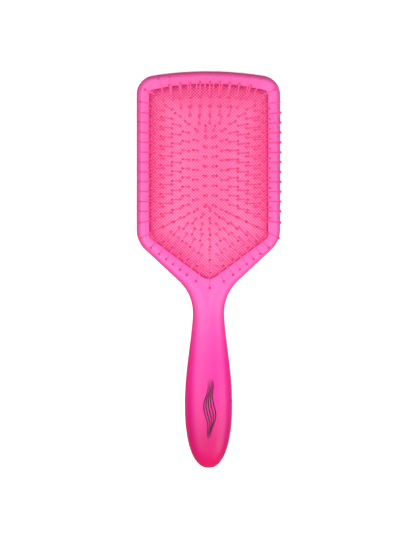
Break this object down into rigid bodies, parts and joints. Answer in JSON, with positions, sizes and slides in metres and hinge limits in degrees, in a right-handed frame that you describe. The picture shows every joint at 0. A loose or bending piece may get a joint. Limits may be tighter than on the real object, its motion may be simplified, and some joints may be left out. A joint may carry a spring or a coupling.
{
  "type": "paddle brush",
  "caption": "Flat square-shouldered hair brush: hollow two-shell body with handle, sprung domed rubber cushion and ball-tipped pins.",
  "frame": {"origin": "on the flat back of the head, under the middle of the cushion", "axes": "+X across the head, +Y towards the top of the head, +Z out of the pin face"},
  "size_m": [0.0906, 0.25, 0.0415],
  "materials": {
    "shell_front": "soft-touch satin pink moulding",
    "shell_back": "soft-touch satin pink moulding",
    "cushion_rubber": "coral pink rubber with a fine embossed diamond grain",
    "pin_nylon": "raspberry nylon, slightly glossy"
  },
  "bodies": {
    "root": {"front_shell": "shell_front", "back_shell": "shell_back", "cushion": "cushion_rubber"},
    "centre_pins": {"pins_centre": "pin_nylon"},
    "top_1_row": {"pins_top_1": "pin_nylon"},
    "right_1_row": {"pins_right_1": "pin_nylon"},
    "left_1_row": {"pins_left_1": "pin_nylon"},
    "lower_right_1_row": {"pins_lower_right_1": "pin_nylon"},
    "lower_left_1_row": {"pins_lower_left_1": "pin_nylon"},
    "top_2_row": {"pins_top_2": "pin_nylon"},
    "right_2_row": {"pins_right_2": "pin_nylon"},
    "left_2_row": {"pins_left_2": "pin_nylon"},
    "lower_right_2_row": {"pins_lower_right_2": "pin_nylon"},
    "lower_left_2_row": {"pins_lower_left_2": "pin_nylon"},
    "top_3_row": {"pins_top_3": "pin_nylon"},
    "right_3_row": {"pins_right_3": "pin_nylon"},
    "left_3_row": {"pins_left_3": "pin_nylon"},
    "lower_right_3_row": {"pins_lower_right_3": "pin_nylon"},
    "lower_left_3_row": {"pins_lower_left_3": "pin_nylon"},
    "top_4_row": {"pins_top_4": "pin_nylon"},
    "right_4_row": {"pins_right_4": "pin_nylon"},
    "left_4_row": {"pins_left_4": "pin_nylon"},
    "lower_right_4_row": {"pins_lower_right_4": "pin_nylon"},
    "lower_left_4_row": {"pins_lower_left_4": "pin_nylon"},
    "top_5_row": {"pins_top_5": "pin_nylon"},
    "right_5_row": {"pins_right_5": "pin_nylon"},
    "left_5_row": {"pins_left_5": "pin_nylon"},
    "lower_5_row": {"pins_lower_5": "pin_nylon"},
    "top_6_row": {"pins_top_6": "pin_nylon"},
    "right_6_row": {"pins_right_6": "pin_nylon"},
    "left_6_row": {"pins_left_6": "pin_nylon"},
    "lower_6_row": {"pins_lower_6": "pin_nylon"}
  },
  "joints": [
    {"name": "cushion_press", "type": "slide", "parent": "root", "child": "centre_pins", "axis": [0, 0, -1], "range_m": [0, 0.0053], "stiffness_N_per_m": 1500, "deforming": ["cushion"]},
    {"name": "top_1_row_tilt", "type": "hinge", "parent": "root", "child": "top_1_row", "pos_m": [0, 0.07193, 0.01673], "axis": [1, 0, 0], "range_deg": [0, 10.44]},
    {"name": "right_1_row_tilt", "type": "hinge", "parent": "root", "child": "right_1_row", "pos_m": [0.04577, 0.01234, 0.01662], "axis": [0, -1, 0], "range_deg": [0, 12.48]},
    {"name": "left_1_row_tilt", "type": "hinge", "parent": "root", "child": "left_1_row", "pos_m": [-0.04577, 0.01234, 0.01662], "axis": [0, 1, 0], "range_deg": [0, 12.48]},
    {"name": "lower_right_1_row_tilt", "type": "hinge", "parent": "root", "child": "lower_right_1_row", "pos_m": [0.02532, -0.05385, 0.01779], "axis": [-0.8007, -0.599, 0], "range_deg": [0, 12.83]},
    {"name": "lower_left_1_row_tilt", "type": "hinge", "parent": "root", "child": "lower_left_1_row", "pos_m": [-0.02322, -0.05543, 0.01769], "axis": [-0.8007, 0.599, 0], "range_deg": [0, 12.62]},
    {"name": "top_2_row_tilt", "type": "hinge", "parent": "root", "child": "top_2_row", "pos_m": [0, 0.07207, 0.01899], "axis": [1, 0, 0], "range_deg": [0, 10.73]},
    {"name": "right_2_row_tilt", "type": "hinge", "parent": "root", "child": "right_2_row", "pos_m": [0.04778, 0.01151, 0.01893], "axis": [0, -1, 0], "range_deg": [0, 10.89]},
    {"name": "left_2_row_tilt", "type": "hinge", "parent": "root", "child": "left_2_row", "pos_m": [-0.04778, 0.01151, 0.01893], "axis": [0, 1, 0], "range_deg": [0, 10.89]},
    {"name": "lower_right_2_row_tilt", "type": "hinge", "parent": "root", "child": "lower_right_2_row", "pos_m": [0.02871, -0.0573, 0.0196], "axis": [-0.8007, -0.599, 0], "range_deg": [0, 9.42]},
    {"name": "lower_left_2_row_tilt", "type": "hinge", "parent": "root", "child": "lower_left_2_row", "pos_m": [-0.02662, -0.05944, 0.01952], "axis": [-0.8007, 0.599, 0], "range_deg": [0, 9.16]},
    {"name": "top_3_row_tilt", "type": "hinge", "parent": "root", "child": "top_3_row", "pos_m": [0, 0.085, 0.02054], "axis": [1, 0, 0], "range_deg": [0, 6.54]},
    {"name": "right_3_row_tilt", "type": "hinge", "parent": "root", "child": "right_3_row", "pos_m": [0.05004, 0.01021, 0.02035], "axis": [0, -1, 0], "range_deg": [0, 9.21]},
    {"name": "left_3_row_tilt", "type": "hinge", "parent": "root", "child": "left_3_row", "pos_m": [-0.05004, 0.01021, 0.02035], "axis": [0, 1, 0], "range_deg": [0, 9.21]},
    {"name": "lower_right_3_row_tilt", "type": "hinge", "parent": "root", "child": "lower_right_3_row", "pos_m": [0.0333, -0.06235, 0.02078], "axis": [-0.8007, -0.599, 0], "range_deg": [0, 7.12]},
    {"name": "lower_left_3_row_tilt", "type": "hinge", "parent": "root", "child": "lower_left_3_row", "pos_m": [-0.03169, -0.06502, 0.02072], "axis": [-0.8007, 0.599, 0], "range_deg": [0, 6.86]},
    {"name": "top_4_row_tilt", "type": "hinge", "parent": "root", "child": "top_4_row", "pos_m": [0, 0.08852, 0.02143], "axis": [1, 0, 0], "range_deg": [0, 5.85]},
    {"name": "right_4_row_tilt", "type": "hinge", "parent": "root", "child": "right_4_row", "pos_m": [0.05762, 0.0093, 0.02131], "axis": [0, -1, 0], "range_deg": [0, 6.85]},
    {"name": "left_4_row_tilt", "type": "hinge", "parent": "root", "child": "left_4_row", "pos_m": [-0.05762, 0.0093, 0.02131], "axis": [0, 1, 0], "range_deg": [0, 6.85]},
    {"name": "lower_right_4_row_tilt", "type": "hinge", "parent": "root", "child": "lower_right_4_row", "pos_m": [0.04043, -0.07079, 0.02159], "axis": [-0.8007, -0.599, 0], "range_deg": [0, 5.31]},
    {"name": "lower_left_4_row_tilt", "type": "hinge", "parent": "root", "child": "lower_left_4_row", "pos_m": [-0.03967, -0.07445, 0.02154], "axis": [-0.8007, 0.599, 0], "range_deg": [0, 5.05]},
    {"name": "top_5_row_tilt", "type": "hinge", "parent": "root", "child": "top_5_row", "pos_m": [0, 0.10213, 0.02204], "axis": [1, 0, 0], "range_deg": [0, 4.42]},
    {"name": "right_5_row_tilt", "type": "hinge", "parent": "root", "child": "right_5_row", "pos_m": [0.06561, 0.00826, 0.02197], "axis": [0, -1, 0], "range_deg": [0, 5.46]},
    {"name": "left_5_row_tilt", "type": "hinge", "parent": "root", "child": "left_5_row", "pos_m": [-0.06561, 0.00826, 0.02197], "axis": [0, 1, 0], "range_deg": [0, 5.46]},
    {"name": "lower_5_row_tilt", "type": "hinge", "parent": "root", "child": "lower_5_row", "pos_m": [0, -0.09784, 0.0221], "axis": [-1, 0, 0], "range_deg": [0, 4.02]},
    {"name": "top_6_row_tilt", "type": "hinge", "parent": "root", "child": "top_6_row", "pos_m": [0, 0.12372, 0.02238], "axis": [1, 0, 0], "range_deg": [0, 3.26]},
    {"name": "right_6_row_tilt", "type": "hinge", "parent": "root", "child": "right_6_row", "pos_m": [0.0842, 0.00739, 0.02237], "axis": [0, -1, 0], "range_deg": [0, 3.9]},
    {"name": "left_6_row_tilt", "type": "hinge", "parent": "root", "child": "left_6_row", "pos_m": [-0.0842, 0.00739, 0.02237], "axis": [0, 1, 0], "range_deg": [0, 3.9]},
    {"name": "lower_6_row_tilt", "type": "hinge", "parent": "root", "child": "lower_6_row", "pos_m": [0, -0.12829, 0.02241], "axis": [-1, 0, 0], "range_deg": [0, 2.79]}
  ],
  "couplings": [
    {"joint": "top_1_row_tilt", "follows": "cushion_press", "rad_per_m": 34.344},
    {"joint": "right_1_row_tilt", "follows": "cushion_press", "rad_per_m": 41.079},
    {"joint": "left_1_row_tilt", "follows": "cushion_press", "rad_per_m": 41.079},
    {"joint": "lower_right_1_row_tilt", "follows": "cushion_press", "rad_per_m": 42.213},
    {"joint": "lower_left_1_row_tilt", "follows": "cushion_press", "rad_per_m": 41.538},
    {"joint": "top_2_row_tilt", "follows": "cushion_press", "rad_per_m": 35.292},
    {"joint": "right_2_row_tilt", "follows": "cushion_press", "rad_per_m": 35.842},
    {"joint": "left_2_row_tilt", "follows": "cushion_press", "rad_per_m": 35.842},
    {"joint": "lower_right_2_row_tilt", "follows": "cushion_press", "rad_per_m": 30.989},
    {"joint": "lower_left_2_row_tilt", "follows": "cushion_press", "rad_per_m": 30.124},
    {"joint": "top_3_row_tilt", "follows": "cushion_press", "rad_per_m": 21.501},
    {"joint": "right_3_row_tilt", "follows": "cushion_press", "rad_per_m": 30.289},
    {"joint": "left_3_row_tilt", "follows": "cushion_press", "rad_per_m": 30.289},
    {"joint": "lower_right_3_row_tilt", "follows": "cushion_press", "rad_per_m": 23.426},
    {"joint": "lower_left_3_row_tilt", "follows": "cushion_press", "rad_per_m": 22.55},
    {"joint": "top_4_row_tilt", "follows": "cushion_press", "rad_per_m": 19.226},
    {"joint": "right_4_row_tilt", "follows": "cushion_press", "rad_per_m": 22.52},
    {"joint": "left_4_row_tilt", "follows": "cushion_press", "rad_per_m": 22.52},
    {"joint": "lower_right_4_row_tilt", "follows": "cushion_press", "rad_per_m": 17.458},
    {"joint": "lower_left_4_row_tilt", "follows": "cushion_press", "rad_per_m": 16.596},
    {"joint": "top_5_row_tilt", "follows": "cushion_press", "rad_per_m": 14.533},
    {"joint": "right_5_row_tilt", "follows": "cushion_press", "rad_per_m": 17.93},
    {"joint": "left_5_row_tilt", "follows": "cushion_press", "rad_per_m": 17.93},
    {"joint": "lower_5_row_tilt", "follows": "cushion_press", "rad_per_m": 13.196},
    {"joint": "top_6_row_tilt", "follows": "cushion_press", "rad_per_m": 10.691},
    {"joint": "right_6_row_tilt", "follows": "cushion_press", "rad_per_m": 12.804},
    {"joint": "left_6_row_tilt", "follows": "cushion_press", "rad_per_m": 12.804},
    {"joint": "lower_6_row_tilt", "follows": "cushion_press", "rad_per_m": 9.147}
  ]
}
